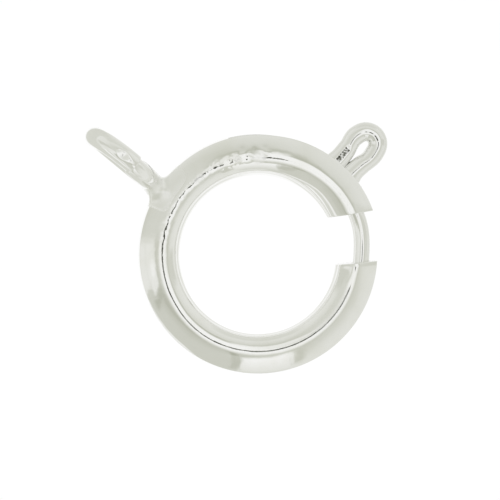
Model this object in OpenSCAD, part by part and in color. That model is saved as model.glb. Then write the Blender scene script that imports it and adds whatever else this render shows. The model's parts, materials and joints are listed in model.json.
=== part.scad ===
// Spring ring clasp: a hollow ring with a gap, closed by a sprung bolt that a thumb trigger draws back.
// Millimetres. The ring's centre is the origin. The clasp lies as it rests on a table, with +Z up.

/* [Ring] */
// Outside diameter of the ring
ring_od = 14; // [8:0.1:24]
// Width of the tube, from the ring's inside to its outside
tube_w = 2.42; // [1.6:0.02:3]
// Radius of the tube's round inner half, which is half of the tube's height
crest_r = 1.08; // [0.7:0.02:1.5]
// Radius of the flatter outer flanks
flank_r = 4; // [2.6:0.1:6]
// Slope at which a flank leaves the round inner half
flank_tilt = 12; // [4:1:20]
// How much steeper the flank sets off there, which leaves a faint valley
flank_dip = 1.5; // [1:0.1:4]
// Radius of the blunt outer rim, seen in section
rim_r = 4; // [2.5:0.1:6]
// Wall of the tube
wall = 0.2; // [0.12:0.01:0.3]

/* [Gap] */
// Width of the gap at the middle of the tube
gap_w = 2.85; // [1.5:0.05:4]
// Direction of the gap's middle
gap_angle = 9.2; // [0:0.1:20]
// Skew of the lower end's cut
gap_skew = 3.9; // [0:0.1:8]

/* [Bolt] */
// Wire of the bolt
bolt_d = 0.96; // [0.6:0.02:1.1]
// How much nearer the ring's outside the bolt runs than the tube's round half is centred
bolt_out = 0.39; // [0.2:0.01:0.5]
// How far the tip reaches into the lower end, along the curve
tip_reach = 0.8; // [0.4:0.05:1.2]
// Head on the tail, which the spring pushes
head_d = 1.46; // [1.2:0.02:1.5]
// Length of the head along the curve
head_len = 0.4; // [0.3:0.05:0.6]
// Length of plain wire between the trigger's foot and the head
tail_len = 0.7; // [0.4:0.05:1.2]
// How far the bolt turns when it is drawn back
travel = 50; // [34:1:52]

/* [Trigger] */
// Wire of the trigger
trigger_d = 1.1; // [0.8:0.02:1.2]
// Direction in which the trigger stands
trigger_angle = 45.3; // [40:0.1:50]
// How far the trigger's top stands out from the ring
trigger_rise = 3.28; // [2.6:0.02:4]
// Width over the trigger's loop
trigger_w = 2.57; // [2.4:0.01:3]
// How far the legs lap where they are soldered side by side
leg_lap = 0.04; // [0.02:0.01:0.1]
// Slope of the legs where they leave the loop
leg_slope = 9.3; // [6:0.1:14]

/* [Connector loop] */
// Outside diameter of the connector loop
loop_od = 5.3; // [4:0.1:7]
// Wire of the connector loop
loop_d = 1.2; // [0.8:0.05:1.4]
// How far the loop's near side sinks into the ring's rim
loop_sink = 0.02; // [0:0.01:0.1]
// Direction of the loop
loop_angle = 144.5; // [120:0.5:200]
// Turn of the loop about its own upright
loop_turn = -4.7; // [-10:0.1:10]
// Radius of the solder's fillets
solder_r = 0.65; // [0.3:0.05:1]
// Half the height of the solder
solder_h = 0.58; // [0.4:0.02:0.6]

/* [Spring] */
// Wire of the spring
spring_d = 0.2; // [0.14:0.01:0.24]
// Outside diameter of the coil
spring_od = 1.44; // [1.2:0.02:1.5]
// Number of turns
spring_turns = 24; // [12:1:30]
// Direction of the stop inside the tube
stop_angle = 222; // [200:1:240]
// Length of the stop along the curve
stop_len = 0.6; // [0.3:0.1:1]

/* [Fits] */
// Clearance between the trigger's legs and the slot, each side
slot_gap = 0.05; // [0.03:0.01:0.08]
// Clearance at each end of the spring
spring_gap = 0.03; // [0.02:0.01:0.06]

/* [Rest] */
// How far round from the line of the loop the ring's low point lies
sway = 13; // [0:0.5:20]

/* [Hidden] */
// Node to draw
$fn = 96;
ring_r = ring_od / 2;
crest_c = ring_r - tube_w + crest_r;
bolt_c = crest_c + bolt_out;
loop_c = ring_r - loop_sink + loop_od / 2;
lean = asin((loop_od / 2 - crest_r) / (crest_c + loop_c * cos(sway)));
lean_dir = loop_angle + sway;
leg_y = trigger_d / 2 - leg_lap / 2;
arc_r = trigger_w / 2 - trigger_d / 2;
arc_x = ring_r + trigger_rise - trigger_w / 2;
arc_tx = arc_x - arc_r * sin(leg_slope);
arc_ty = arc_r * cos(leg_slope);
bend_x = arc_tx - (arc_ty - leg_y) / tan(leg_slope);
foot_half = asin((leg_y + trigger_d / 2) / (ring_r - wall));
// How much thinner the legs are than the loop that they run into, and how far they run in
leg_shy = 0.01;
leg_in = 0.07;
slot_end_gap = slot_gap / ring_r * 180 / PI;
slot_start = trigger_angle - foot_half - slot_end_gap;
slot_end = trigger_angle + foot_half + travel + slot_end_gap;
slot_h = trigger_d + 2 * slot_gap;
tip_angle = gap_angle - asin(gap_w / 2 / bolt_c) - tip_reach / bolt_c * 180 / PI;
tail_angle = trigger_angle + foot_half + tail_len / bolt_c * 180 / PI;
head_turn = head_len / bolt_c * 180 / PI;
coil_c = crest_c + bolt_out / 4;
coil_r = spring_od / 2 - spring_d / 2;
spring_start = tail_angle + head_turn + (spring_gap + spring_d / 2) / coil_c * 180 / PI;
spring_end = stop_angle - (spring_gap + spring_d / 2) / coil_c * 180 / PI;
coil_steps = spring_turns * 10;
coil_sides = 5;
// How far the solder's fillets run into the ring's rim, which they would only touch otherwise
solder_bite = 0.03;
far = 3 * ring_od;

// The ring in section, shrunk by t all over: a round inner half and two flatter flanks that meet a blunt rim
module section(t) {
  steep = flank_tilt + flank_dip;
  f = [
    crest_c + crest_r * sin(flank_tilt) - flank_r * sin(steep),
    crest_r * cos(flank_tilt) - flank_r * cos(steep)
  ];
  ray = flank_tilt + flank_dip / (1 - crest_r / flank_r);
  reach = 2 * tube_w;
  translate([crest_c, 0]) circle(r = crest_r - t);
  intersection() {
    translate(f) circle(r = flank_r - t);
    translate([f[0], -f[1]]) circle(r = flank_r - t);
    translate([ring_r - rim_r, 0]) circle(r = rim_r - t);
    translate([crest_c, 0])
      polygon([
        [0, 0],
        [reach * sin(ray), reach * cos(ray)],
        [reach, reach * cos(ray)],
        [reach, -reach * cos(ray)],
        [reach * sin(ray), -reach * cos(ray)]
      ]);
  }
}

// The whole ring without its slot and gap, shrunk by t all over
module ring_body(t) {
  rotate_extrude() section(t);
}

// Lays the clasp down on the ring's low point and on the loop
module at_rest() {
  rotate(a = lean, v = [cos(lean_dir - 90), sin(lean_dir - 90), 0]) children();
}

module arc(from, to) {
  rotate([0, 0, from]) rotate_extrude(angle = to - from) children();
}

// The slot that the trigger runs in
module slot() {
  arc(slot_start, slot_end) translate([bolt_c, -slot_h / 2]) square([ring_r, slot_h]);
}

// The gap between the tube's ends, the lower one cut a little askew
module gap() {
  a = ring_r - 1.5 * tube_w;
  b = ring_r + 0.5 * tube_w;
  m = ring_r - tube_w / 2;
  rotate([0, 0, gap_angle])
    translate([0, 0, -tube_w])
      linear_extrude(height = 2 * tube_w)
        polygon([
          [a, gap_w / 2],
          [b, gap_w / 2],
          [b, -gap_w / 2 - (b - m) * tan(gap_skew)],
          [a, -gap_w / 2 + (m - a) * tan(gap_skew)]
        ]);
}

// Solder between the ring and the connector loop
module solder() {
  y = loop_d / 2 + solder_r;
  d = ring_r + solder_r - solder_bite;
  x = sqrt(d * d - y * y);
  t = y * ring_r / d;
  translate([0, 0, -solder_h])
    linear_extrude(height = 2 * solder_h)
      difference() {
        translate([ring_r - wall, -t]) square([x - ring_r + wall, 2 * t]);
        translate([x, y]) circle(r = solder_r);
        translate([x, -y]) circle(r = solder_r);
      }
}

module ring_tube() {
  color([0.9, 0.9, 0.87])
    at_rest() {
      difference() {
        union() {
          ring_body(0);
          rotate([0, 0, loop_angle]) solder();
          rotate([0, 0, loop_angle])
            translate([loop_c, 0, 0])
              rotate([90, 0, loop_turn])
                rotate_extrude() translate([loop_od / 2 - loop_d / 2, 0]) circle(r = loop_d / 2);
        }
        difference() {
          ring_body(wall);
          arc(stop_angle, stop_angle + stop_len / crest_c * 180 / PI)
            translate([ring_r - 2 * tube_w, -tube_w]) square([3 * tube_w, 2 * tube_w]);
        }
        slot();
        gap();
      }
    }
}

// One leg of the trigger: straight beside its twin, then sloping out to the loop, which is a hair thicker
module leg() {
  r = trigger_d / 2 - leg_shy;
  mitre = leg_slope / 2;
  difference() {
    translate([bolt_c, leg_y, 0]) rotate([0, 90, 0]) cylinder(r = r, h = bend_x - bolt_c + trigger_d);
    translate([bend_x, leg_y, 0]) rotate([0, 0, mitre]) translate([0, -far / 2, -far / 2]) cube(far);
  }
  difference() {
    translate([bend_x, leg_y, 0])
      rotate([0, 0, leg_slope])
        translate([-trigger_d, 0, 0])
          rotate([0, 90, 0]) cylinder(r = r, h = (arc_tx - bend_x) / cos(leg_slope) + trigger_d + leg_in);
    translate([bend_x, leg_y, 0]) rotate([0, 0, mitre]) translate([-far, -far / 2, -far / 2]) cube(far);
  }
}

module bolt() {
  color([0.88, 0.88, 0.86])
    at_rest() {
      arc(tip_angle, tail_angle + head_turn / 2) translate([bolt_c, 0]) circle(r = bolt_d / 2);
      arc(tail_angle, tail_angle + head_turn) translate([coil_c, 0]) circle(r = head_d / 2);
      rotate([0, 0, trigger_angle]) {
        leg();
        mirror([0, 1, 0]) leg();
        translate([arc_x, 0, 0])
          arc(-90 - leg_slope, 90 + leg_slope) translate([arc_r, 0]) circle(r = trigger_d / 2);
      }
    }
}

// Middle of the coil's wire at step i, and the wire's outline round it
function coil_angle(i) = spring_start + (spring_end - spring_start) * i / coil_steps;
function coil_phase(i) = 360 * spring_turns * i / coil_steps;
function polar(r, a, z) = [r * cos(a), r * sin(a), z];
function coil_mid(i) = polar(coil_c + coil_r * cos(coil_phase(i)), coil_angle(i), coil_r * sin(coil_phase(i)));
function coil_out(i) = polar(cos(coil_phase(i)), coil_angle(i), sin(coil_phase(i)));
function coil_way(i) = coil_mid(i + 0.01) - coil_mid(i - 0.01);
function coil_side(i) = cross(coil_way(i), coil_out(i)) / norm(cross(coil_way(i), coil_out(i)));
function coil_ring(i) = [
  for (k = [0:coil_sides - 1])
    coil_mid(i)
    + spring_d / 2 * cos(360 * k / coil_sides) * coil_out(i)
    + spring_d / 2 * sin(360 * k / coil_sides) * coil_side(i)
];

module spring() {
  points = [for (i = [0:coil_steps]) each coil_ring(i)];
  sides = [
    for (i = [0:coil_steps - 1])
      for (k = [0:coil_sides - 1])
        let (a = i * coil_sides + k, b = i * coil_sides + (k + 1) % coil_sides)
          each [[a, a + coil_sides, b], [b, a + coil_sides, b + coil_sides]]
  ];
  start = [for (k = [0:coil_sides - 1]) k];
  end = [for (k = [0:coil_sides - 1]) coil_steps * coil_sides + coil_sides - 1 - k];
  color([0.75, 0.75, 0.75]) at_rest() polyhedron(points = points, faces = concat(sides, [start], [end]));
}

ring_tube();
bolt();
spring();
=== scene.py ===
# %% [markdown]
# # A spring ring clasp in polished silver
# The clasp is a hollow ring with a gap in it. A sprung wire bolt closes the gap, a thumb trigger draws the
# bolt back, and a closed loop soldered to the rim takes the end of the chain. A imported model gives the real
# sizes and says what moves. Here each piece gets the form and the finish that the eye sees.

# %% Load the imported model
import json
import math
import bmesh
import bpy
import numpy as np
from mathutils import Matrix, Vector

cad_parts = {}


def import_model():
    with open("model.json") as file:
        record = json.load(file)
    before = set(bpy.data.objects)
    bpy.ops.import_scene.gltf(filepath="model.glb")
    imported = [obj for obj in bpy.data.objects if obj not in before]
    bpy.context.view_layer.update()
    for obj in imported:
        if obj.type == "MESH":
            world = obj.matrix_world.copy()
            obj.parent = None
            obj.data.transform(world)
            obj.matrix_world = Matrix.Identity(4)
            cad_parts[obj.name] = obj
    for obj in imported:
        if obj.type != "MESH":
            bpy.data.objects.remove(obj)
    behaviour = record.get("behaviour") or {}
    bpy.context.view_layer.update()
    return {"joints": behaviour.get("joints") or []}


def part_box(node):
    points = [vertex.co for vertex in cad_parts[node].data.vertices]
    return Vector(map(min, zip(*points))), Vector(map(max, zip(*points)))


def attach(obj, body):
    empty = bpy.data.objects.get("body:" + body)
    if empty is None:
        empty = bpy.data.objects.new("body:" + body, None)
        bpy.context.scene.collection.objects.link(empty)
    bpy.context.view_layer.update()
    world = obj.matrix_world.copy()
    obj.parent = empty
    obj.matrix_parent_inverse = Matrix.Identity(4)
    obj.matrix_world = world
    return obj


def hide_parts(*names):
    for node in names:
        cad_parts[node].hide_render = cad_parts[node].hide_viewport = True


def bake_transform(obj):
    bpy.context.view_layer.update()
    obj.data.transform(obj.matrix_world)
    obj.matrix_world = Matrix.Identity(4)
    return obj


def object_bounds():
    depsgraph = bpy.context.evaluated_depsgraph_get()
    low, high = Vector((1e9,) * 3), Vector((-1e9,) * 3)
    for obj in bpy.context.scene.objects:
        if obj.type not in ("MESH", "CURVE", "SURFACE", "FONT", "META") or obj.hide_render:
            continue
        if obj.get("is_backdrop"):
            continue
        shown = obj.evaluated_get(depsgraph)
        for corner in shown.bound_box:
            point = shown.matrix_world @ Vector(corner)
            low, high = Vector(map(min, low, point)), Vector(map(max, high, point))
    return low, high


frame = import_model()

# %% [markdown]
# ## The ring's own frame
# The clasp lies on a table, and its loop props one side up, so the ring leans by six degrees. Sizes are far
# easier to think of in the ring's own frame, with the ring flat and its axis upright. So every piece is
# shaped there, in millimetres, and one function lays the points down and turns them into metres. The lean
# isn't typed in: the bolt turns about the ring's axis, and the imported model's joint holds that axis.

# %% Lay points down as the clasp lies
MM = 0.001
ring_axis = Vector(frame["joints"][0]["axis"]).normalized()
LEAN = np.array(Vector((0, 0, 1)).rotation_difference(ring_axis).to_matrix())


def laid(points):
    """Points of the ring's own frame, in mm, where they lie on the table, in metres."""
    return np.asarray(points, float) @ LEAN.T * MM


print("the ring leans by", round(math.degrees(ring_axis.angle(Vector((0, 0, 1)))), 2), "degrees")

# %% [markdown]
# ## The camera
# The photograph looks straight down, from far away compared with the clasp, so all sides of the ring look
# alike. A long lens does the same: the camera stands 250 mm above the table and its lens is as long as that
# distance asks for. The ring is 240 pixels across and 14 mm wide, which gives the scale of the picture.

# %% Camera straight above the clasp
PIXELS = 500
RING_PIXELS = 240
RING_CENTRE = (257.8, 253.8)
ring_outside = 14.0
pixel = ring_outside / RING_PIXELS
camera_height = 250.0
camera_data = bpy.data.cameras.new("camera_above")
camera = bpy.data.objects.new("camera_above", camera_data)
bpy.context.scene.collection.objects.link(camera)
bpy.context.scene.camera = camera
camera_data.sensor_width = 36.0
camera_data.lens = camera_data.sensor_width * camera_height / (PIXELS * pixel)
camera_data.clip_start = 0.01
aim_x = (PIXELS / 2 - RING_CENTRE[0]) * pixel
aim_y = (RING_CENTRE[1] - PIXELS / 2) * pixel
camera.location = (aim_x * MM, aim_y * MM, camera_height * MM)
bpy.context.scene.view_settings.view_transform = "Standard"
print("lens:", round(camera_data.lens, 1), "mm, one pixel:", round(pixel, 4), "mm")

# %% [markdown]
# ## Shader maths as plain expressions
# A material is a network of nodes, and a sum in it would take one Math node for each sign. A small class
# that wraps a socket lets the same sum be written as an expression, such as `1 - mask * 0.5`, and adds the
# nodes by itself. Every other node comes from one method, which takes the node's type, its settings and the
# values or wires of its sockets.

# %% Wires and boards


class Wire:
    """A shader socket with arithmetic: an expression on wires adds its Math nodes."""

    def __init__(self, board, socket):
        self.board = board
        self.socket = socket

    def other(self, name):
        """Another output of the same node."""
        return Wire(self.board, self.socket.node.outputs[name])

    def math(self, operation, second=0.0):
        """A Math node on this value and, where it takes one, a second."""
        return self.board.node("ShaderNodeMath", {"operation": operation}, {0: self, 1: second})

    def __add__(self, second):
        return self.math("ADD", second)

    def __sub__(self, second):
        return self.math("SUBTRACT", second)

    def __mul__(self, second):
        return self.math("MULTIPLY", second)

    def __truediv__(self, second):
        return self.math("DIVIDE", second)

    def __pow__(self, second):
        return self.math("POWER", second)

    def __rsub__(self, first):
        return self * -1 + first

    def __rtruediv__(self, first):
        return self ** -1 * first

    __radd__ = __add__
    __rmul__ = __mul__


class Board:
    """A node tree, emptied, that is filled through one method."""

    def __init__(self, tree):
        tree.nodes.clear()
        self.tree = tree

    def node(self, kind, settings=None, values=None, output=0):
        """A node of one kind, its settings first and then its sockets, as the wire of one output."""
        made = self.tree.nodes.new(kind)
        for name, value in (settings or {}).items():
            if name == "stops":
                fill_ramp(made.color_ramp, value)
            else:
                setattr(made, name, value)
        for name, value in (values or {}).items():
            if isinstance(value, Wire):
                self.tree.links.new(value.socket, made.inputs[name])
            else:
                made.inputs[name].default_value = value
        return Wire(self, made.outputs[output]) if made.outputs else None

    def rise(self, value, low, high):
        """0 below low, 1 above high and a smooth step between."""
        settings = {"interpolation_type": "SMOOTHSTEP"}
        return self.node("ShaderNodeMapRange", settings, {"Value": value, "From Min": low, "From Max": high})

    def window(self, value, low, high, soft):
        """1 between low and high, with soft edges."""
        return self.rise(value, low - soft, low + soft) * (1 - self.rise(value, high - soft, high + soft))


def fill_ramp(ramp, stops):
    """Sets a colour ramp's stops from pairs of place and grey value."""
    while len(ramp.elements) < len(stops):
        ramp.elements.new(0.5)
    for element, (place, value) in zip(ramp.elements, stops):
        element.position = place
        element.color = (value, value, value, 1)


# %% [markdown]
# ## The light tent
# Polished silver has next to no colour of its own: what one sees in it is the room. A product photograph is
# taken in a white tent. Overhead is one soft box, a little off centre, with the lens's dark hole in it.
# Round it the tent's walls are dim and get brighter downwards, one side is darker, and bright panels stand
# low. All of this is written as functions of the direction in which a ray leaves, so that the world's shader
# is the tent. The darker a patch is, the warmer and greener it gets, as in the photograph.

# %% Directions, and marks in them
world = bpy.data.worlds.new("light_tent")
bpy.context.scene.world = world
world.use_nodes = True
tent = Board(world.node_tree)
direction = tent.node("ShaderNodeTexCoord", output="Generated")
ray_x = tent.node("ShaderNodeSeparateXYZ", values={"Vector": direction})
ray_y = ray_x.other("Y")
ray_z = ray_x.other("Z")
zenith_angle = ray_z.math("ARCCOSINE") * (180 / math.pi)
level = (ray_x * ray_x + ray_y * ray_y + 1e-9) ** 0.5


def toward(azimuth):
    """How far a ray goes toward an azimuth, for each unit of its length."""
    a = math.radians(azimuth)
    return ray_x * math.cos(a) + ray_y * math.sin(a)


def sector(centre, half, soft):
    """1 inside the azimuths centre - half to centre + half."""
    inner = math.cos(math.radians(half - soft))
    outer = math.cos(math.radians(half + soft))
    return tent.rise(toward(centre) / level, outer, inner)


def beyond(azimuth, soft, skew=0.0):
    """1 on the counterclockwise side of an azimuth. skew turns that edge for each degree further down."""
    turn = math.sin(math.radians(soft))
    shift = (zenith_angle - 50) * math.radians(skew)
    return tent.rise(toward(azimuth + 90) / level + shift, -turn, turn)


def before(azimuth, soft, skew=0.0):
    """1 on the clockwise side of an azimuth, with the same skew."""
    turn = math.sin(math.radians(soft))
    shift = (zenith_angle - 50) * math.radians(skew)
    return tent.rise(toward(azimuth - 90) / level - shift, -turn, turn)


def painted(light, value, mask):
    """The light with a value laid over it where the mask is 1."""
    return light + (value - light) * mask


def warmed(light):
    """The colour of a light: the dimmer it is, the more blue it loses."""
    return light.board.node(
        "ShaderNodeCombineColor", {}, {"Red": light ** 1.03, "Green": light, "Blue": light ** 1.22}
    )


print("direction nodes:", len(tent.tree.nodes))


# %% [markdown]
# ## The soft box
# A flat map of the tent makes its shapes easy to draw. The ray's direction is spread on a plane, as a map of
# the pole is, so that a step of one unit is close to one degree. The soft box is a rectangle on that map,
# turned a little. Its sides are wide and soft, its far side slants off toward both ends, and one corner fades
# early. A dimmer frame runs round it and gives the bright stripe on the silver a dark border.

# %% Glow of the soft box
spread = 360 / math.pi / (ray_z + 1.0001)
box_azimuth = 325
box_left, box_right = -13, 32
box_near, box_far = (-29, -5), (24, 33)
box_along = toward(box_azimuth) * spread
box_across = toward(box_azimuth + 90) * spread
left_slant = (-3 - box_along).math("MAXIMUM") * 0.7
right_slant = (box_along - 12).math("MAXIMUM") * 0.35
box_upward = box_across + left_slant + right_slant
box = tent.window(box_along, box_left, box_right, 11)
box = box * tent.rise(box_across, *box_near) * (1 - tent.rise(box_upward, *box_far))
fading = 1 - tent.rise(box_along + box_across * 0.3, 0, 9)
box = box * (1 - 0.75 * tent.rise(toward(88) * spread, -5, 7) * fading)
box_frame = tent.window(box_along, box_left - 9, box_right + 7, 6)
box_frame = box_frame * tent.rise(box_across, -33, -21) * (1 - tent.rise(box_upward, 33, 40))
box_frame = box_frame * (1 + 0.4 * tent.rise(toward(50) / level, 0, 0.7))
box_frame = box_frame * (1 - 0.8 * sector(140, 45, 12))
print("soft box spread over", box_right - box_left, "by", (sum(box_far) - sum(box_near)) / 2, "degrees")

# %% [markdown]
# ## The walls
# The walls are a ramp over the angle from straight up: dim beside the box and brighter lower down. Cloth with
# a room behind it is never even, so broad soft patches lie on the ramp, and one side is darker. Each patch is
# a sector of directions times a band of those angles.

# %% Walls with their uneven patches
WALL_STOPS = [
    (0.0, 0.62), (0.28, 0.62), (0.38, 0.64), (0.46, 0.70), (0.56, 0.735), (0.70, 0.775), (1.0, 0.80)
]


def band(low, high, soft):
    """1 between two angles from straight up."""
    return tent.window(zenith_angle, low, high, soft)


walls = tent.node("ShaderNodeValToRGB", {"stops": WALL_STOPS}, {"Fac": zenith_angle / 90})
light = walls - 0.10 * box_frame
light = painted(light, 0.68, sector(140, 36, 10) * (1 - tent.rise(zenith_angle, 34, 44)))
light = light - 0.09 * sector(82, 30, 8) * tent.rise(zenith_angle, 58, 70)
light = light - 0.045 * sector(332, 28, 10) * band(36, 51, 6)
light = painted(light, 0.64, sector(166, 9, 6) * band(42, 84, 6))
light = painted(light, 0.66, sector(3, 8, 4) * band(40, 80, 6))
dark_side = (zenith_angle * 0.0075 + 0.335).math("MINIMUM", 0.63)
light = painted(light, dark_side, sector(237, 34, 2) * tent.rise(zenith_angle, 22, 28))
light = light - 0.04 * sector(234, 30, 3) * band(23, 29, 2)
print("walls from", WALL_STOPS[0][1], "beside the box to", WALL_STOPS[-1][1], "at the table")

# %% [markdown]
# Two bright panels stand in the walls. Their mirror images are the bright patches on the ring's flank, one at
# the left and one at the bottom. A dark gap beside a panel, where the cloth doesn't close, gives its image a
# crisp edge, and the sides lean because the panels do.

# %% Panels and the gaps beside them
left_panel = beyond(177, 5)
light = painted(light, 0.83, left_panel * before(214, 1) * band(25, 40, 2))
light = painted(light, 0.92, sector(198, 4, 4) * band(26, 33, 3))
light = painted(light, 0.82, left_panel * before(207, 1) * band(40, 58, 2))
light = painted(light, 0.50, sector(217, 3, 2) * band(26, 46, 4))
low_panel = beyond(274.3, 0.8, 0.3) * before(298.5, 0.8, 0.31)
light = painted(light, 1.22 - zenith_angle * 0.0065, low_panel * band(39, 84, 3))
left_gap = beyond(269.3, 0.8, 0.3) * before(273.6, 0.8, 0.3)
light = painted(light, 0.42, left_gap * band(29, 38, 3))
light = painted(light, 0.54, left_gap * band(38, 62, 3))
right_gap = beyond(299, 0.8, 0.31) * before(304, 0.8, 0.31)
light = painted(light, 0.60, right_gap * band(38, 62, 4))
print("nodes up to the panels:", len(tent.tree.nodes))

# %% [markdown]
# Three strips run low along the side that the inside of the ring mirrors, two bright ones with a dimmer one
# between, and they climb toward one end. Beside the soft box is a bright corner with a dark border of its
# own. The box itself is laid over all of this, and just above the table the tent ends in an even grey.

# %% Low strips, bright corner and the box
STRIPS = [(0.90, 58, 67, 2.5), (0.71, 69.5, 75.5, 2), (0.96, 78, 93, 2)]
strip_zenith = zenith_angle - 26 * tent.rise(toward(322) / level, 0.12, 0.5)
for strip, low, high, soft in STRIPS:
    light = painted(light, strip, sector(230, 32, 3) * tent.window(strip_zenith, low, high, soft))
corner_zenith = zenith_angle + 14 * toward(150) / level
light = painted(light, 0.83, sector(74, 22, 8) * tent.window(corner_zenith, 10, 33, 4))
light = light - 0.08 * sector(64, 20, 6) * tent.window(corner_zenith, 31.5, 37, 2.5)
light = painted(light, 0.94, box)
light = painted(light, 0.75, tent.rise(zenith_angle, 88, 91))
print("strips:", len(STRIPS))

# %% [markdown]
# ## The lens
# The lens looks down through a hole in the box. Its mirror image is the thin black line that runs along the
# ring's crest, and it gives the silver its hard sparkle.

# %% Paint the lens and light the world
lens_azimuth = math.radians(-22)
lens_zenith = math.radians(9.4)
lens_rim = (math.cos(math.radians(4.6)), math.cos(math.radians(3.4)))
lens_way = (
    math.sin(lens_zenith) * math.cos(lens_azimuth),
    math.sin(lens_zenith) * math.sin(lens_azimuth),
    math.cos(lens_zenith),
)
facing = tent.node(
    "ShaderNodeVectorMath", {"operation": "DOT_PRODUCT"}, {0: direction, 1: lens_way}, output="Value"
)
light = painted(light, 0.02, tent.rise(facing, *lens_rim))
background = tent.node("ShaderNodeBackground", {}, {"Color": warmed(light), "Strength": 1.0})
tent.node("ShaderNodeOutputWorld", {}, {"Surface": background})
print("tent nodes:", len(tent.tree.nodes))

# %% [markdown]
# ## The table
# The clasp lies on a white table that is lit from below as well, which is how a catalogue picture gets its
# clean white ground. The glow leaves hardly any shadow, and it shows as a white line where the silver turns
# down toward the table. A square is enough for it, since nothing but its glow is seen.

# %% Table top
table_size = 1200.0
table_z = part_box("ring_tube")[0].z
half = table_size / 2 * MM
table_mesh = bpy.data.meshes.new("table")
corners = [(-half, -half, table_z), (half, -half, table_z), (half, half, table_z), (-half, half, table_z)]
table_mesh.from_pydata(corners, [], [(0, 1, 2, 3)])
table = bpy.data.objects.new("table", table_mesh)
bpy.context.scene.collection.objects.link(table)
table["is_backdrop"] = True
print("table at z =", round(table_z / MM, 3), "mm")

# %% [markdown]
# Opal glass over lamps is brightest straight on, so the glow is a ramp over the slant at which a ray meets
# the table, as Layer Weight gives it. Silver close to the table mirrors what lies under and beside it, so the
# glow also depends on the spot, and there it is painted light and shade for the silver to mirror: the part
# that the ring encloses has a ramp of its own, painted for the inside of the ring to mirror; a patch round
# the bolt keeps the dimmer outer ramp as painted shade of the bolt; its low side and its upper side are
# brighter as painted light; and the table's left is dimmer as painted shade.

# %% Glow of the table
INSIDE_STOPS = [(0.0, 1.0), (0.2, 0.98), (0.34, 0.80), (0.5, 0.80), (0.62, 0.95), (0.85, 0.93), (0.96, 0.78)]
OUTSIDE_STOPS = [(0.0, 1.0), (0.08, 1.0), (0.18, 0.86), (0.3, 0.80), (0.6, 0.75), (1.0, 0.72)]
# Centre of the patch of painted shade round the bolt, on the table.
bolt_shade_spot = (4.5 * MM, -0.7 * MM, 0)
# The table's glow, with painted light and shade laid on it by spot.
opal = bpy.data.materials.new("opal_white_painted_glow")
opal.use_nodes = True
glass = Board(opal.node_tree)
slant = glass.node("ShaderNodeLayerWeight", {}, {"Blend": 0.5}, "Facing")
spot = glass.node("ShaderNodeTexCoord", output="Object")
spot_x = glass.node("ShaderNodeSeparateXYZ", values={"Vector": spot})
spot_y = spot_x.other("Y") / MM
spot_x = spot_x / MM


def past(azimuth):
    """How far a spot lies counterclockwise of a line from the table's middle, in mm."""
    a = math.radians(azimuth)
    return spot_y * math.cos(a) - spot_x * math.sin(a)


away = glass.node("ShaderNodeVectorMath", {"operation": "LENGTH"}, {0: spot}, "Value") / MM
apart = glass.node("ShaderNodeVectorMath", {"operation": "DISTANCE"}, {0: spot, 1: bolt_shade_spot}, "Value") / MM
# Painted light and shade in the table's glow: dimmer round the bolt as painted shade, brighter low and upper
# sides as painted light, a dimmer left as painted shade.
enclosed = (1 - glass.rise(away, 4.4, 5.4)) * glass.rise(apart, 0.8, 1.8)
low_side_light = 1 - glass.rise(spot_y, -3.2, -0.4)
upper_side_light = glass.rise(past(57), -0.1, 0.3) * (1 - glass.rise(past(95), -0.2, 0.3))
left_side_shade = 1 - glass.rise(spot_x, -9.0, -6.0)
inside = glass.node("ShaderNodeValToRGB", {"stops": INSIDE_STOPS}, {"Fac": slant})
inside = painted(inside, 1.25 - slant * 0.42, low_side_light * 0.9)
inside = painted(inside, 1.0, upper_side_light * glass.window(slant, 0.1, 0.56, 0.06))
outside = glass.node("ShaderNodeValToRGB", {"stops": OUTSIDE_STOPS}, {"Fac": slant})
outside = painted(outside, 0.69, left_side_shade * glass.rise(slant, 0.12, 0.16))
opal_shader = glass.node(
    "ShaderNodeBsdfPrincipled",
    {},
    {
        "Base Color": (0.0, 0.0, 0.0, 1),
        "Roughness": 0.7,
        "Specular IOR Level": 0.0,
        "Emission Color": warmed(painted(outside, inside, enclosed)),
        "Emission Strength": 1.01,
    },
)
glass.node("ShaderNodeOutputMaterial", {}, {"Surface": opal_shader})
table_mesh.materials.append(opal)
print("table nodes:", len(glass.tree.nodes))

# %% [markdown]
# ## The silver
# Polished silver is a mirror with fine wear: hair scratches that catch light, soft waves left by the
# polishing wheel, and a faint warm tarnish that shows as a change of colour over a few millimetres. The
# waves are a bump of a few thousandths of a millimetre, and the scratches change the roughness more than
# the form. On the crest at the upper left the waves are rougher, and a few scuffs dull it: both break the
# lens's line into dashes. One function makes the finish, and solder and spring wire are duller kinds of it.

# %% Finish of a worn metal


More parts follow.
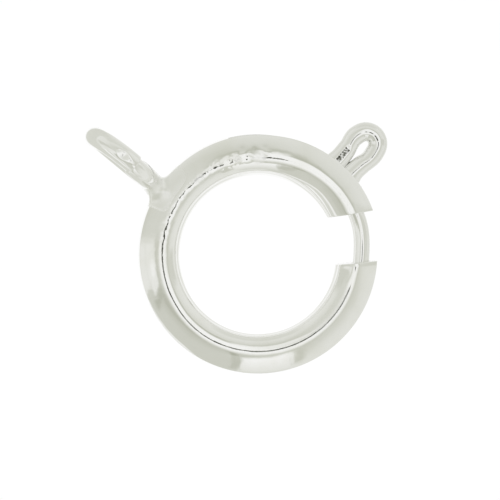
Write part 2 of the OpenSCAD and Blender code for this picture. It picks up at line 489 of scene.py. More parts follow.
def metal(name, bright, dull, roughness, wear, wave_depth, wave_scale, uneven=0.0, scuffs=()):
    """A metal with two colours, a gloss, a wear, and waves of a depth in mm and a number for each mm.

    uneven is how much the waves on the crest at the upper left grow. A scuff is a direction round the ring, a
    size in mm and how much rougher the crest is there."""
    material = bpy.data.materials.new(name)
    material.use_nodes = True
    board = Board(material.node_tree)
    place = board.node("ShaderNodeTexCoord", output="Object")

    def noise(scale, detail, stretch=(1, 1, 1)):
        """Noise of some waves for each mm, stretched along the axes."""
        stretched = board.node(
            "ShaderNodeVectorMath", {"operation": "MULTIPLY"}, {0: place, 1: stretch}, output="Vector"
        )
        sockets = {"Vector": stretched, "Scale": scale / MM, "Detail": detail, "Roughness": 0.55}
        return board.node("ShaderNodeTexNoise", {}, sockets)

    def measured(operation, other):
        """Distance to a point, or way along a direction, in mm."""
        settings = {"operation": operation}
        return board.node("ShaderNodeVectorMath", settings, {0: place, 1: other}, "Value") / MM

    tarnish = board.rise(noise(0.45, 3), 0.42, 0.75)
    colour = board.node(
        "ShaderNodeMix", {"data_type": "RGBA"}, {0: tarnish, 6: (*bright, 1), 7: (*dull, 1)}, output=2
    )
    long_hairs = board.rise(noise(7.0, 4, (1, 0.12, 1)), 0.56, 0.72)
    cross_hairs = board.rise(noise(6.0, 4, (0.1, 1, 0.6)), 0.58, 0.74)
    hairs = long_hairs + cross_hairs
    gloss = hairs * wear + tarnish * (wear * 0.5) + roughness
    for angle, size, rougher in scuffs:
        a = math.radians(angle)
        centre = tuple(laid([5.65 * math.cos(a), 5.65 * math.sin(a), 1.0]))
        gloss = gloss + (1 - board.rise(measured("DISTANCE", centre), size * 0.6, size)) * rougher
    upper_left = board.rise(measured("DOT_PRODUCT", (-0.64, 0.77, 0)), 3.0, 4.8)
    crest = upper_left * board.rise(measured("DOT_PRODUCT", ring_axis), 0.98, 1.07)
    height = noise(wave_scale, 2) + (noise(wave_scale * 1.3, 2) - 0.5) * crest * uneven + hairs * -0.02
    bump = board.node(
        "ShaderNodeBump", {}, {"Strength": 1.0, "Distance": wave_depth * MM, "Height": height}
    )
    shader = board.node(
        "ShaderNodeBsdfPrincipled",
        {},
        {"Base Color": colour, "Metallic": 1.0, "Roughness": gloss, "Normal": bump},
    )
    board.node("ShaderNodeOutputMaterial", {}, {"Surface": shader})
    return material


# %% [markdown]
# The ring is polished brightest. The loop is worn by the chain, the trigger by thumbs and the bolt by the
# tube it slides in, and solder never takes the same polish as silver.

# %% Finishes of the pieces
SCUFFS = [(129.0, 0.48, 0.13), (103.0, 0.32, 0.18), (90.5, 0.52, 0.15), (322.0, 2.0, 0.06)]
white, warm_white = (0.95, 0.95, 0.94), (0.91, 0.91, 0.88)
silver = metal("polished_silver", white, warm_white, 0.075, 0.05, 0.007, 1.1, 6.0, SCUFFS)
worn_silver = metal("worn_silver", white, (0.91, 0.91, 0.89), 0.085, 0.06, 0.020, 1.4)
thumbed_silver = metal("thumbed_silver", (0.93, 0.93, 0.92), (0.88, 0.88, 0.86), 0.075, 0.06, 0.010, 1.4)
rubbed_silver = metal("rubbed_silver", (0.93, 0.93, 0.92), (0.89, 0.89, 0.86), 0.09, 0.05, 0.006, 0.9)
solder_silver = metal("silver_solder", white, warm_white, 0.28, 0.08, 0.02, 1.6)
spring_steel = metal("spring_wire_steel", (0.62, 0.62, 0.61), (0.5, 0.49, 0.47), 0.28, 0.08, 0.002, 4.0)
print("finishes:", [m.name for m in bpy.data.materials if m.use_nodes])

# %% [markdown]
# ## Skins over grids of points
# Tube, wire and coil are all the same kind of form: one outline carried along a path. Each becomes a grid of
# points, a row for each station on the path, and quads join neighbours. `quads` numbers the faces of such a
# grid and `piece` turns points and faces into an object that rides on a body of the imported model.

# %% Helpers for meshes


def smooth_step(value, low, high):
    """The same smooth step as in the shaders, for numbers."""
    t = np.clip((np.asarray(value, float) - low) / (high - low), 0, 1)
    return t * t * (3 - 2 * t)


def quads(grid, close_rows=False, keep=None):
    """Faces between neighbours of a grid of vertex numbers, closed round. keep marks the faces wanted."""
    down = np.roll(grid, -1, 0) if close_rows else grid[1:]
    here = grid if close_rows else grid[:-1]
    faces = np.stack([here, down, np.roll(down, -1, 1), np.roll(here, -1, 1)], -1)
    return faces.reshape(-1, 4) if keep is None else faces[keep]


def piece(name, points, faces, material, body, slot, *nodes):
    """An object from points in the ring's frame, smooth, on a body and in place of its CAD nodes."""
    mesh = bpy.data.meshes.new(name)
    mesh.from_pydata(laid(points).tolist(), [], [list(map(int, f)) for f in faces])
    mesh.validate()
    mesh.shade_smooth()
    mesh.materials.append(material)
    made = bpy.data.objects.new(name, mesh)
    bpy.context.scene.collection.objects.link(made)
    if body:
        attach(made, body)
    if nodes:
        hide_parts(*nodes)
    print(name, "has", len(mesh.vertices), "points and", len(mesh.polygons), "faces")
    return made


def swept(path, radius, sides):
    """Points and faces of a round wire. path is its centre line, radius a number or one for each point."""
    path = np.asarray(path, float)
    radius = np.broadcast_to(radius, len(path))
    way = np.gradient(path, axis=0)
    way = way / np.linalg.norm(way, axis=1)[:, None]
    side = np.cross(way, [0, 0, 1])
    flat = np.linalg.norm(side, axis=1) < 0.3
    side[flat] = np.cross(way[flat], [1, 0, 0])
    side = side / np.linalg.norm(side, axis=1)[:, None]
    up = np.cross(side, way)
    turn = np.linspace(0, 2 * math.pi, sides, endpoint=False)
    ring = side[:, None] * np.cos(turn)[None, :, None] + up[:, None] * np.sin(turn)[None, :, None]
    points = path[:, None] + ring * radius[:, None, None]
    grid = np.arange(points.shape[0] * sides).reshape(-1, sides)
    faces = quads(grid).tolist() + [grid[0].tolist(), grid[-1][::-1].tolist()]
    return points.reshape(-1, 3), faces


# %% [markdown]
# ## The tube in section
# Cut across, the ring's tube isn't round. Its inner half is a half circle, and its outer half is two flatter
# flanks that slope down to a blunt rim, which comes from forming the tube between dies. Slopes describe it
# best, since the slope of the surface is what a mirror shows: the crest turns from straight in (-90) to 14
# degrees outward, the flank goes on to 30, and a tight corner leads to the rim. Where the tube's end opens to
# a mouth, the crest's arc moves outward. Shrinking all radii by the wall's thickness gives the inside.

# %% Outline of the tube
tube_width = 2.42
crest_radius = 1.08
flank_radius = 4.0
flank_slope = 14.06
rim_radius = 4.0
edge_radius = 0.05
wall = 0.2
slot_half = 0.6
ring_radius = ring_outside / 2
mouth_slope = 18.5
mouth_out = 0.23
mouth_up = mouth_out * math.tan(math.radians(mouth_slope))


def crossing(a, radius_a, b, radius_b):
    """Where two circles cross, on the side away from the ring's centre."""
    a, b = np.array(a), np.array(b)
    gap = b - a
    d = np.linalg.norm(gap)
    along = (radius_a**2 - radius_b**2 + d * d) / (2 * d)
    height = math.sqrt(radius_a**2 - along**2)
    foot = a + gap * along / d
    across = np.array([-gap[1], gap[0]]) / d * height
    return max(foot + across, foot - across, key=lambda p: p[0])


def slope_arc(centre, radius, start, end, count):
    """Points on an arc by the slope of the surface there, in degrees: 0 faces up, 90 faces outward."""
    s = np.radians(np.linspace(start, end, count))
    return np.stack([centre[0] + radius * np.sin(s), centre[1] + radius * np.cos(s)], 1)


def slope_at(centre, point):
    """Slope of an arc round centre where it passes the point, in degrees."""
    return math.degrees(math.atan2(point[0] - centre[0], point[1] - centre[1]))


def tube_outline(shrunk, mouth):
    """The section as pairs of distance from the ring's axis and height. mouth is 1 where the end flares."""
    shift = np.array([mouth_out, mouth_up]) * mouth
    hollow = np.array([ring_radius - tube_width + crest_radius, 0.0])
    crest = hollow + shift
    tangent = math.radians(flank_slope)
    flank = crest + (crest_radius - flank_radius) * np.array([math.sin(tangent), math.cos(tangent)])
    rim = np.array([ring_radius + shift[0] - rim_radius, 0.0])
    edge_r = max(edge_radius - shrunk, 0.012)
    edge = crossing(flank, flank_radius - shrunk - edge_r, rim, rim_radius - shrunk - edge_r)
    edge_start = slope_at(flank, edge)
    edge_end = slope_at(rim, edge)
    edge_low = edge[1] + edge_r * math.cos(math.radians(edge_end))
    rim_r = rim_radius - shrunk
    lip = math.degrees(math.acos(min(slot_half, edge_low - 0.004) / rim_r))
    upper = np.concatenate([
        slope_arc(hollow, crest_radius - shrunk, -90, -mouth_slope, 18),
        slope_arc(crest, crest_radius - shrunk, -mouth_slope + 0.01, flank_slope, 11),
        slope_arc(flank, flank_radius - shrunk, flank_slope, edge_start, 9)[1:],
        slope_arc(edge, edge_r, edge_start, edge_end, 5)[1:],
        slope_arc(rim, rim_r, edge_end, lip, 3)[1:],
    ])
    middle = slope_arc(rim, rim_r, lip, 180 - lip, 6)[1:-1]
    lower = upper[:0:-1] * [1, -1]
    return np.concatenate([upper, middle, lower])


UPPER = 18 + 11 + 8 + 4 + 2
RIM_COLUMNS = range(UPPER - 1, UPPER + 4)
print("points round the tube:", len(tube_outline(0, 0)))

# %% [markdown]
# ## Ends, mouth and marks of wear
# The tube's ends are sawn along the gap, not toward the ring's centre, so the cut meets the inside of the
# tube at another angle than the outside. The stations near an end lean over little by little until they lie
# in the saw cut. The upper end is opened to a mouth for the bolt: it is wider, and its top bends down a
# little. At the top of the ring and beside its lower end, pliers have left shallow dents and bumps that
# break up the lens's line.

# %% Shape along the ring
bolt_wire = 0.96
bolt_curve = 6.08
bolt_bow = 0.13
gap_direction = 9.2
gap_half = 1.425
gap_skew = math.tan(math.radians(3.9))
middle_radius = ring_radius - tube_width / 2
upper_cut = gap_direction + math.degrees(math.asin(gap_half / middle_radius))
lower_cut = 360 + gap_direction - math.degrees(math.asin(gap_half / middle_radius))
slot_start = 35.8
slot_end = 104.8
end_drop = 0.15


def bow_at(angle):
    """How far the bolt is bowed outward, from 0 at its tip to 1."""
    return smooth_step((np.asarray(angle) + 180) % 360 - 180, -4, 18)


def cut_lean(distance, angle):
    """How far a point at this distance from the axis turns to bring its row to the saw cut, in degrees."""
    upper = gap_direction + np.degrees(np.arcsin(gap_half / distance)) - upper_cut
    skewed = gap_half + (distance - middle_radius) * gap_skew
    lower = 360 + gap_direction - np.degrees(np.arcsin(skewed / distance)) - lower_cut
    near_upper = 1 - smooth_step(angle, upper_cut, upper_cut + 12)
    near_lower = smooth_step(angle, lower_cut - 16, lower_cut)
    return upper * near_upper + lower * near_lower


def ramp(value, start, length, soft):
    """Rises by one for each unit of length beyond start, with a soft bend at start."""
    t = (value - start) / soft
    return soft / length * (math.log1p(math.exp(-abs(4 * t))) / 4 + max(t, 0))


def mouth_at(angle):
    """How far the upper end is opened, from 0 to 1."""
    return ramp(-angle, -82, 46, 4) - ramp(-angle, -36, 46, 4)


def lift_at(angle):
    """Height of the tube's top near its upper end, which is bent down a little as it opens, in mm."""
    return -end_drop * ramp(-angle, -73, 45, 4) - mouth_up * mouth_at(angle)


# Direction in degrees, then distance from the ring's axis, length along, width across and depth in mm
DENTS = [
    (107.6, 5.66, 0.16, 0.14, 0.016),
    (103.5, 5.62, 0.20, 0.16, -0.010),
    (98.4, 5.65, 0.16, 0.14, 0.014),
    (93.5, 5.62, 0.22, 0.20, -0.012),
    (88.0, 5.75, 0.20, 0.16, 0.012),
    (99.5, 6.22, 0.22, 0.20, 0.018),
    (92.9, 6.12, 0.20, 0.18, 0.016),
    (87.1, 6.24, 0.24, 0.22, 0.020),
    (112.0, 5.60, 0.25, 0.20, -0.010),
    (131.0, 5.60, 0.15, 0.15, 0.010),
    (351.6, 5.75, 0.75, 0.80, -0.070),
    (350.2, 5.10, 0.40, 0.28, 0.060),
]


def dent_depth(angle, distance):
    """Depth of the dents in the upper side at a place on it."""
    depth = np.zeros(np.broadcast(angle, distance).shape)
    for where, r, length, width, deep in DENTS:
        along = (angle - where) * math.radians(1) * r / length
        across = (distance - r) / width
        depth = depth + deep * np.exp(-along * along - across * across)
    return depth


print("dents and bumps:", len(DENTS))

# %% [markdown]
# Stations are close together where the form changes fast: at the ends, where the slot starts and stops, and
# among the dents. The skin then runs along the outside, over the lip of the wall, back along the inside and
# over the other lip, as one closed grid.

# %% Stations along the tube
lip_round = 0.035
hole_room = 0.09
swell, swell_at, swell_length = 0.05, 232, 22


def stations():
    """Directions of the rows of the skin, in degrees."""
    coarse = np.arange(upper_cut + 1.5, lower_cut - 1.0, 1.5)
    fine = np.arange(80, 116, 0.6)
    near_slot = [s + d for s in (slot_start, slot_end) for d in (-0.04, 0.0, 0.04)]
    near_ends = [upper_cut + d for d in (0.0, 0.8, 1.6, 2.3)] + [lower_cut - d for d in (0.0, 2.2)]
    coarse = coarse[(coarse > upper_cut + 2.4) & (coarse < lower_cut - 2.4)]
    coarse = [a for a in coarse if min(abs(a - s) for s in (slot_start, slot_end)) > 0.3]
    return np.unique(np.round(np.concatenate([coarse, fine, near_slot, near_ends]), 4))


def tube_row(angle, shrunk, beyond, in_slot=False):
    """One row of the skin. beyond is how far past its station the row goes along the curve, in mm."""
    outline = tube_outline(shrunk, mouth_at(angle))
    distance, height = outline[:, 0], outline[:, 1].copy()
    if shrunk and in_slot:
        outer = distance > middle_radius + 0.2
        side = np.sign(np.where(np.arange(len(height)) <= UPPER + 1, 1, -1))
        height = np.where(outer & (np.abs(height) < slot_half), side * slot_half, height)
    turned = angle + cut_lean(distance, angle) + np.degrees(beyond / distance)
    above = np.clip(outline[:, 1] / crest_radius, 0, 1)
    distance = distance + swell * np.exp(-(((turned - swell_at) / swell_length) ** 2)) * above**2
    dent = dent_depth(turned, distance) * above
    lifted = height - dent + lift_at(angle) * smooth_step(outline[:, 1], 0, 0.9)
    a = np.radians(turned)
    return np.stack([distance * np.cos(a), distance * np.sin(a), lifted], 1)


def hole_row(angle, beyond, radius):
    """A row round the hole that the bolt passes through."""
    outline = tube_outline(wall, mouth_at(angle))
    centre = np.array([bolt_curve + bolt_bow * float(bow_at(angle)), 0])
    way = outline - centre
    way = way / np.linalg.norm(way, axis=1)[:, None]
    distance, height = (centre + radius * way).T
    a = np.radians(angle + cut_lean(distance, angle) + np.degrees(beyond / distance))
    return np.stack([distance * np.cos(a), distance * np.sin(a), height], 1)


def lip_rows(angle, sign):
    """The rounded lip of the wall at one end, from outside to inside."""
    rows = []
    for turn in (30, 60, 90):
        t = math.radians(turn)
        rows.append((lip_round * (1 - math.cos(t)), lip_round * (math.sin(t) - 1)))
    lip = [tube_row(angle, shrunk, sign * beyond) for shrunk, beyond in rows]
    hole = bolt_wire / 2 + hole_room
    collar = [(0, hole + 0.04), (-sign * 0.04, hole), (-sign * wall, hole)]
    return lip + [hole_row(angle, ahead, radius) for ahead, radius in collar]


angles = stations()
print("stations:", len(angles))

# %% [markdown]
# The rows are stacked in the order in which the skin runs, and a face is left out wherever the trigger's slot
# is open, on the outside and on the inside alike.

# %% Skin of the tube
in_slot = [slot_start <= a <= slot_end for a in angles]
outer_rows = [tube_row(a, 0.0, 0.0) for a in angles]
inner_rows = [tube_row(a, wall, 0.0, s) for a, s in zip(angles, in_slot)]
outer_rows[0] = tube_row(angles[0], 0.0, lip_round)
inner_rows[0] = tube_row(angles[0], wall, wall)
outer_rows[-1] = tube_row(angles[-1], 0.0, -lip_round)
inner_rows[-1] = tube_row(angles[-1], wall, -wall)
end_lip = lip_rows(angles[-1], 1)
start_lip = lip_rows(angles[0], -1)[::-1]
rows = outer_rows + end_lip + inner_rows[::-1] + start_lip
points = np.array(rows)
around = points.shape[1]
grid = np.arange(points.shape[0] * around).reshape(-1, around)
keep = np.ones(grid.shape, bool)
count = len(angles)
slot_rows = [i for i in range(count - 1) if in_slot[i] and in_slot[i + 1]]
inner_row = {i: 2 * count + len(end_lip) - 1 - i for i in range(count)}
for i in slot_rows:
    keep[i, list(RIM_COLUMNS)] = False
    keep[inner_row[i + 1], list(RIM_COLUMNS)] = False
tube_faces = quads(grid, close_rows=True, keep=keep).tolist()
print("rows of the skin:", len(rows), "and of them along the slot:", len(slot_rows))

# %% [markdown]
# The trigger's slot is cut through the rim. Taking faces out leaves a bare edge, so the wall's thickness is
# closed again with strips between the outside and the inside: one along each lip, one across each end. Points
# that no face uses any more are taken out, and the faces are turned to look outward.

# %% Close the slot's edges
for column in (RIM_COLUMNS[0], RIM_COLUMNS[-1] + 1):
    for i in slot_rows:
        a, b = inner_row[i], inner_row[i + 1]
        tube_faces.append([grid[i, column], grid[a, column], grid[b, column], grid[i + 1, column]])
for i in (slot_rows[0], slot_rows[-1] + 1):
    for column in RIM_COLUMNS:
        a = inner_row[i]
        tube_faces.append([grid[i, column], grid[a, column], grid[a, column + 1], grid[i, column + 1]])
tube = piece("ring_tube_silver", points.reshape(-1, 3), tube_faces, silver, "ring", "silver", "ring_tube")
shape = bmesh.new()
shape.from_mesh(tube.data)
spare = [v for v in shape.verts if not v.link_faces]
bmesh.ops.delete(shape, geom=spare, context="VERTS")
bmesh.ops.recalc_face_normals(shape, faces=shape.faces)
shape.to_mesh(tube.data)
shape.free()
print("took out", len(spare), "points that no face uses and turned the faces outward")

# %% [markdown]
# ## Connector loop
# The loop is a ring of round wire, soldered to the rim so that it stands on edge. Its ends meet on top, and
# they don't meet quite true: one sits a little to the side, which leaves a step. The wire is swept along the
# circle from one end to the other, with a sideways drift that adds up to that step. Its top is then filed
# flat where the ends were soldered together.

# %% Sweep the loop
loop_outside = 5.3
loop_wire = 1.19
loop_middle = ring_radius - 0.02 + loop_outside / 2
loop_direction = math.radians(144.5)
loop_turn = math.radians(-4.7)
loop_radius = (loop_outside - loop_wire) / 2
seam_at = math.radians(105)
seam_gap = 0.03 / loop_radius
seam_step = 0.11
side_bend = 0.18
loop_sides = 60


def loop_frame():
    """Centre of the loop, the level way along it, and the way across its wire."""
    centre = loop_middle * np.array([math.cos(loop_direction), math.sin(loop_direction), 0])
    a = loop_direction + loop_turn
    along = np.array([math.cos(a), math.sin(a), 0])
    return centre, along, np.array([math.sin(a), -math.cos(a), 0])


def loop_line(count):
    """Centre line of the loop's wire, from the seam all the way round to the seam."""
    centre, along, across = loop_frame()
    t = np.linspace(0, 1, count)
    psi = seam_at + seam_gap / 2 + t * (2 * math.pi - seam_gap)
    far = (np.degrees(psi) - 360) / 55
    drift = (t - 0.5) * seam_step - side_bend * np.exp(-far * far)
    level_part = np.cos(psi)[:, None] * along
    upright_part = np.sin(psi)[:, None] * np.array([0, 0, 1])
    return centre + loop_radius * (level_part + upright_part) + drift[:, None] * across


def blunt(path, radius, rounding):
    """A wire's path and radii with softened ends: each end gets a few points and smaller radii."""
    start, end = path[0], path[-1]
    way_in = (path[1] - path[0]) / np.linalg.norm(path[1] - path[0])
    way_out = (path[-1] - path[-2]) / np.linalg.norm(path[-1] - path[-2])
    turns = np.radians([0, 25, 50, 75])
    before = [start - way_in * rounding * math.cos(t) for t in turns]
    after = [end + way_out * rounding * math.cos(t) for t in turns[::-1]]
    inset = [rounding * (1 - math.sin(t)) for t in turns]
    radii = [radius - i for i in inset] + [radius] * len(path) + [radius - i for i in inset[::-1]]
    return np.concatenate([before, path, after]), np.array(radii)


def loop_sweep():
    """Points and faces of the loop. The sides are set off from the loop's own middle, so nothing twists."""
    line, radii = blunt(loop_line(220), loop_wire / 2, 0.06)
    centre, along, across = loop_frame()
    spoke = line - centre
    spoke = spoke - (spoke @ across)[:, None] * across
    spoke = spoke / np.linalg.norm(spoke, axis=1)[:, None]
    turn = np.linspace(0, 2 * math.pi, loop_sides, endpoint=False)
    ring = spoke[:, None] * np.cos(turn)[None, :, None] + across * np.sin(turn)[None, :, None]
    skin = line[:, None] + ring * radii[:, None, None]
    numbers = np.arange(skin.shape[0] * loop_sides).reshape(-1, loop_sides)
    faces = quads(numbers).tolist() + [numbers[0].tolist(), numbers[-1][::-1].tolist()]
    return skin.reshape(-1, 3), faces


def filed(points):
    """The loop with its top filed flat, with the file's waves in it."""
    centre, along, across = loop_frame()
    out = (points - centre) @ along - 0.37
    aside = (points - centre) @ across - 0.095
    wave = 0.006 * np.sin(9 * out + 5 * aside) + 0.004 * np.sin(17 * out - 8 * aside + 1)
    level = 2.57 - 0.10 * out + 0.032 * aside + wave
    points[:, 2] = np.minimum(points[:, 2], level)
    return points


loop_points, loop_faces = loop_sweep()
piece("connector_loop", filed(loop_points), loop_faces, worn_silver, "ring", "silver")

# %% [markdown]
# ## Solder
# Solder is liquid when it is put on, so it fills the corner between loop and ring with a hollow curve and
# runs out over the flank as a thin skin with a soft edge. Distances describe such a form well: how far a
# point is from the ring's skin, how far from the loop's wire, and a minimum of both that is rounded where
# they are nearly the same. Where that rounded distance is zero, the solder's surface is. Away from the joint
# the surface is held a hundredth of a millimetre under the silver, so that it dives out of sight, and the
# solder goes no deeper than most of the tube's wall.

# %% Distances from ring and loop
solder_under = 0.012
solder_deep = 0.15
run_thick = 0.05


def ring_distance(p):
    """Distance from the ring's outer skin, less than zero inside the silver."""
    r = np.hypot(p[..., 0], p[..., 1])
    z = np.abs(p[..., 2])
    crest = ring_radius - tube_width + crest_radius
    slope = math.radians(flank_slope)
    flank_r = crest + (crest_radius - flank_radius) * math.sin(slope)
    flank_z = (crest_radius - flank_radius) * math.cos(slope)
    to_crest = np.hypot(r - crest, z) - crest_radius
    to_flank = np.hypot(r - flank_r, z - flank_z) - flank_radius
    to_rim = np.hypot(r - ring_radius + rim_radius, z) - rim_radius
    past_crest = np.arctan2(r - crest, z) > slope
    return np.where(past_crest, np.maximum(to_flank, to_rim), to_crest)


def loop_distance(p):
    """Distance from the loop's wire."""
    centre, along, across = loop_frame()
    q = p - centre
    spoke = np.hypot(q @ along, q[..., 2]) - loop_radius
    return np.hypot(spoke, q @ across) - loop_wire / 2


def solder_field(p):
    """Less than zero inside the solder."""
    angle = np.degrees(np.arctan2(p[..., 1], p[..., 0]))
    r = np.hypot(p[..., 0], p[..., 1])
    ripple = 0.006 * np.sin(2.6 * p[..., 0] + 1.0) * np.sin(3.1 * p[..., 1]) * np.sin(2.2 * p[..., 2] + 2.0)
    run = smooth_step(angle, 128, 142) * (1 - smooth_step(angle, 155.2, 156.8)) * smooth_step(r, 5.7, 6.6)
    run = run * smooth_step(p[..., 2], 0.2, 0.5)
    ring = ring_distance(p) + solder_under - run_thick * run + ripple * run
    wire = loop_distance(p) + solder_under
    beside = r * np.sin(np.radians(angle) - loop_direction)
    blend = 0.6 + 0.5 * smooth_step(beside, -0.3, 0.3)
    near = np.clip(0.5 + 0.5 * (wire - ring) / blend, 0, 1)
    joined = wire * (1 - near) + ring * near - blend * near * (1 - near)
    shell = np.maximum(-solder_deep - ring_distance(p), -solder_deep - loop_distance(p))
    return np.maximum(joined, shell)


joint = (loop_middle - loop_outside / 2) * np.array([math.cos(loop_direction), math.sin(loop_direction), 0])
print("the loop meets the tube at", joint.round(2), "mm")

# %% [markdown]
# A surface that is only known by a distance is turned into a mesh with a net: space is cut into small cubes,
# each cube that the surface passes gets one point, and neighbours are joined. A few steps along the slope
# of the distance then pull every point onto the surface itself.

# %% A net over a distance


def net(field, low, high, step):
    """Points and faces where the field is zero, inside a box that is given in mm."""
    axes = [np.arange(a, b + step, step) for a, b in zip(low, high)]
    lattice = np.stack(np.meshgrid(*axes, indexing="ij"), -1)
    value = field(lattice)
    value[[0, -1]] = value[:, [0, -1]] = value[:, :, [0, -1]] = 1
    cells = [n - 1 for n in value.shape]
    corner = [(i, j, k) for i in (0, 1) for j in (0, 1) for k in (0, 1)]
    total = np.zeros((*cells, 3))
    hits = np.zeros(cells)
    for a in corner:
        for axis in range(3):
            if a[axis]:
                continue
            b = tuple(v + (i == axis) for i, v in enumerate(a))
            va, vb = [value[tuple(slice(o, o + n) for o, n in zip(c, cells))] for c in (a, b)]
            cut = (va < 0) != (vb < 0)
            t = np.where(cut, va / np.where(cut, va - vb, 1), 0)
            total += np.where(cut[..., None], np.array(a) + t[..., None] * (np.array(b) - a), 0)
            hits += cut
    used = hits > 0
    number = np.full(cells, -1)
    number[used] = np.arange(used.sum())
    points = np.array(low) + step * (np.argwhere(used) + total[used] / hits[used][:, None])
    faces = []
    for axis in range(3):
        one, two = (axis + 1) % 3, (axis + 2) % 3
        front = np.moveaxis(value, axis, 0)[:-1] < 0
        back = np.moveaxis(value, axis, 0)[1:] < 0
        for i, j, k in np.argwhere(front != back):
            at = np.zeros((4, 3), int)
            at[:, axis] = i
            others = [a for a in range(3) if a != axis]
            at[:, others[0]] = [j - 1, j, j, j - 1]
            at[:, others[1]] = [k - 1, k - 1, k, k]
            quad = [int(number[tuple(c)]) for c in at]
            flip = front[i, j, k] != (others == [one, two])
            faces.append(quad[::-1] if flip else quad)
    for _ in range(3):
        here = field(points)
        slope = np.stack([field(points + d) - field(points - d) for d in np.eye(3) * 0.002], -1) / 0.004
        size = np.maximum((slope**2).sum(-1), 0.2)
        points = points - np.clip(here / size, -0.02, 0.02)[:, None] * slope
    return points, faces


net_low = joint + np.array([-2.6, -2.6, -1.35])
net_high = joint + np.array([2.2, 2.2, 1.7])
cell = 0.045
solder_points, solder_faces = net(solder_field, net_low, net_high, cell)
piece("loop_solder", solder_points, solder_faces, solder_silver, "ring", "silver")

# %% [markdown]
# ## Bolt and trigger
# The bolt is a wire bent to the ring's curve. It runs in the tube, crosses the gap and ends in a rounded tip
# inside the other end. It bows outward a little where it crosses. Its tail carries a head, the round pad that
# the spring pushes. The trigger is a hairpin of slightly thicker wire, soldered on: two legs side by side,
# which part and meet again in a small round eye that the thumbnail draws back.

# %% Bolt wire with its tip and head
tip_reach = 0.8
tip_at = gap_direction - math.degrees(math.asin(gap_half / bolt_curve)) - math.degrees(tip_reach / bolt_curve)
trigger_at = 45.3
tail_at = 61.15
head_at = 65.0
head_wide = 1.46
head_curve = 5.7575
head_edge = 0.08
bolt_lift = 0.06


def on_curve(radius, angle, height=0.0):
    """Points at a distance from the ring's axis, in the given directions and at a height."""
    a = np.radians(angle)
    return np.stack([radius * np.cos(a), radius * np.sin(a), height + np.zeros_like(a)], -1)


def bolt_profile():
    """Directions and radii along the bolt: a round tip, the plain wire and the square tail."""
    r = bolt_wire / 2
    turns = np.radians(np.linspace(4, 90, 9))
    tip_angles = tip_at + np.degrees(r * (1 - np.cos(turns)) * 0.8 / bolt_curve)
    body = np.linspace(tip_angles[-1] + 0.5, tail_at + 1.0, 90)
    return np.concatenate([tip_angles, body]), np.concatenate([r * np.sin(turns), np.full(len(body), r)])


def head_profile():
    """The head that the spring pushes: a short round pad with soft edges."""
    turns = np.radians([0, 30, 60, 90])
    inset = np.degrees(head_edge * (1 - np.sin(turns)) / head_curve)
    radii = head_wide / 2 - head_edge * (1 - np.cos(turns))
    return np.concatenate([tail_at + inset[::-1], head_at - inset]), np.concatenate([radii[::-1], radii])


bolt_angles, bolt_radii = bolt_profile()
head_angles, head_radii = head_profile()
bolt_distance = bolt_curve + bolt_bow * bow_at(bolt_angles)
bolt_line = on_curve(bolt_distance, bolt_angles, bolt_lift * smooth_step(bolt_angles, 3, 26))
wire_points, wire_faces = swept(bolt_line, bolt_radii, 32)
head_points, head_faces = swept(on_curve(head_curve, head_angles), head_radii, 32)
bolt_points = np.concatenate([wire_points, head_points])
bolt_faces = wire_faces + [[v + len(wire_points) for v in face] for face in head_faces]
piece("bolt_wire", bolt_points, bolt_faces, rubbed_silver, "catch", "silver", "bolt")

# %% [markdown]
# The hairpin's legs run close together, part and meet again in the eye, and one leg bulges a little more than
# the other. A few points, as a distance from the ring's axis and a way to the side, say where the wire's
# middle runs. A smooth curve goes through them, and rounding it a few times more takes out the last kinks,
# which a mirror image would show. Nails and links have rubbed the wire flat in two places.

# %% Trigger hairpin
trigger_wire = 1.1
eye_centre = 8.98
trigger_sides = 48
RIGHT_LEG = [
    (6.08, -0.60), (6.8, -0.61), (7.4, -0.625), (7.99, -0.665), (8.28, -0.735), (8.6, -0.765), (8.9, -0.735)
]
EYE = [(9.35, -0.60), (9.62, -0.34), (9.72, 0.02), (9.62, 0.38), (9.35, 0.64)]
LEFT_LEG = [(8.9, 0.76), (8.6, 0.745), (8.28, 0.66), (7.99, 0.598), (7.4, 0.535), (6.8, 0.52), (6.08, 0.52)]
THICKER_AT = (7.5, 8.0, 8.28, 8.6, 8.9, 9.7)
THICKER_BY = (0.04, 0.03, -0.005, 0.007, 0.03, 0.02)


def through(points, count):
    """A smooth curve through points: each stretch is a cubic that its neighbours steer."""
    p = np.array(points)
    p = np.vstack([2 * p[0] - p[1], p, 2 * p[-1] - p[-2]])
    t = np.linspace(0, len(points) - 1, count)
    i = np.minimum(t.astype(int), len(points) - 2)
    f = (t - i)[:, None]
    a, b, c, d = p[i], p[i + 1], p[i + 2], p[i + 3]
    curve = b + 0.5 * f * (c - a + f * (2 * a - 5 * b + 4 * c - d + f * (3 * b - a - 3 * c + d)))
    for _ in range(16):
        curve[1:-1] = (curve[:-2] + 2 * curve[1:-1] + curve[2:]) / 4
    return curve


def hairpin():
    """Centre line and radius of the wire, from the foot of one leg over the eye to the foot of the other."""
    line = through(RIGHT_LEG + EYE + LEFT_LEG, 260)
    out, aside = line.T
    thicker = np.interp(out, THICKER_AT, THICKER_BY)
    a = math.radians(trigger_at)
    x = out * math.cos(a) - aside * math.sin(a)
    y = out * math.sin(a) + aside * math.cos(a)
    return np.stack([x, y, np.zeros_like(x)], 1), trigger_wire / 2 + thicker


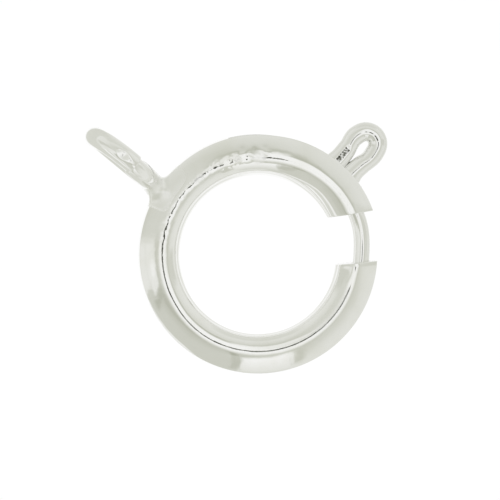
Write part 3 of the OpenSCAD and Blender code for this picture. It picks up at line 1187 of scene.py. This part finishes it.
def rubbed(points):
    """The hairpin rubbed flat at the left foot and round the eye, with its feet spread to the slot."""
    a = math.radians(trigger_at)
    out = points[:, 0] * math.cos(a) + points[:, 1] * math.sin(a)
    aside = points[:, 1] * math.cos(a) - points[:, 0] * math.sin(a)
    foot = smooth_step(out, 6.8, 7.1) * (1 - smooth_step(out, 8.0, 8.35)) * (aside > 0)
    turn = np.degrees(np.arctan2(aside, out - eye_centre))
    eye = smooth_step(turn, -34, -26) * (1 - smooth_step(turn, 55, 70)) * smooth_step(out, 9.1, 9.3)
    hatch = np.sin(2 * math.pi * (out + aside * 0.6) / 0.17)
    level = trigger_wire / 2 - (0.040 + 0.0010 * hatch) * foot - (0.010 + 0.0006 * hatch) * eye
    points[:, 2] = np.minimum(points[:, 2], level)
    flare = (1 - smooth_step(out, 7.0, 7.5)) * smooth_step(np.abs(aside), 0.7, 1.2)
    flare = flare * np.where(aside < 0, -0.12, 0.06)
    points[:, 0] -= flare * math.sin(a)
    points[:, 1] += flare * math.cos(a)
    return points


leg_line, leg_radius = hairpin()
leg_points, leg_faces = swept(leg_line, leg_radius, trigger_sides)
leg_points[:, 2] *= trigger_wire / 2 / np.repeat(leg_radius, trigger_sides)
piece("trigger", rubbed(leg_points), leg_faces, thumbed_silver, "catch", "silver")

# %% [markdown]
# ## Spring
# The spring is a long coil that fills the tube from the bolt's head to the stop. It is swept along a helix
# that is bent round the ring. In the real clasp its near end follows the bolt when the bolt is drawn back and
# its far end stays; here the coil rides on no body and keeps its shape.

# %% Coil the spring
spring_wire = 0.2
spring_wide = 1.44
spring_turns = 24
spring_from = 66.3
spring_to = 220.7
steps = np.linspace(0, 1, spring_turns * 24 + 1)
phase = 2 * math.pi * spring_turns * steps
coil_radius = (spring_wide - spring_wire) / 2
along = np.radians(spring_from + (spring_to - spring_from) * steps)
reach = head_curve + coil_radius * np.cos(phase)
coil = np.stack([reach * np.cos(along), reach * np.sin(along), coil_radius * np.sin(phase)], 1)
spring_points, spring_faces = swept(coil, spring_wire / 2, 8)
spring = piece("coil_spring", spring_points, spring_faces, spring_steel, None, "spring_steel", "spring")
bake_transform(spring)

# %% [markdown]
# ## Sizes
# The looks must not make the clasp bigger than it is, so the box round all that is seen is printed.

# %% Print the sizes and finish
low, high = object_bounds()
print("visual box in mm:", [round(1000 * (b - a), 2) for a, b in zip(low, high)])
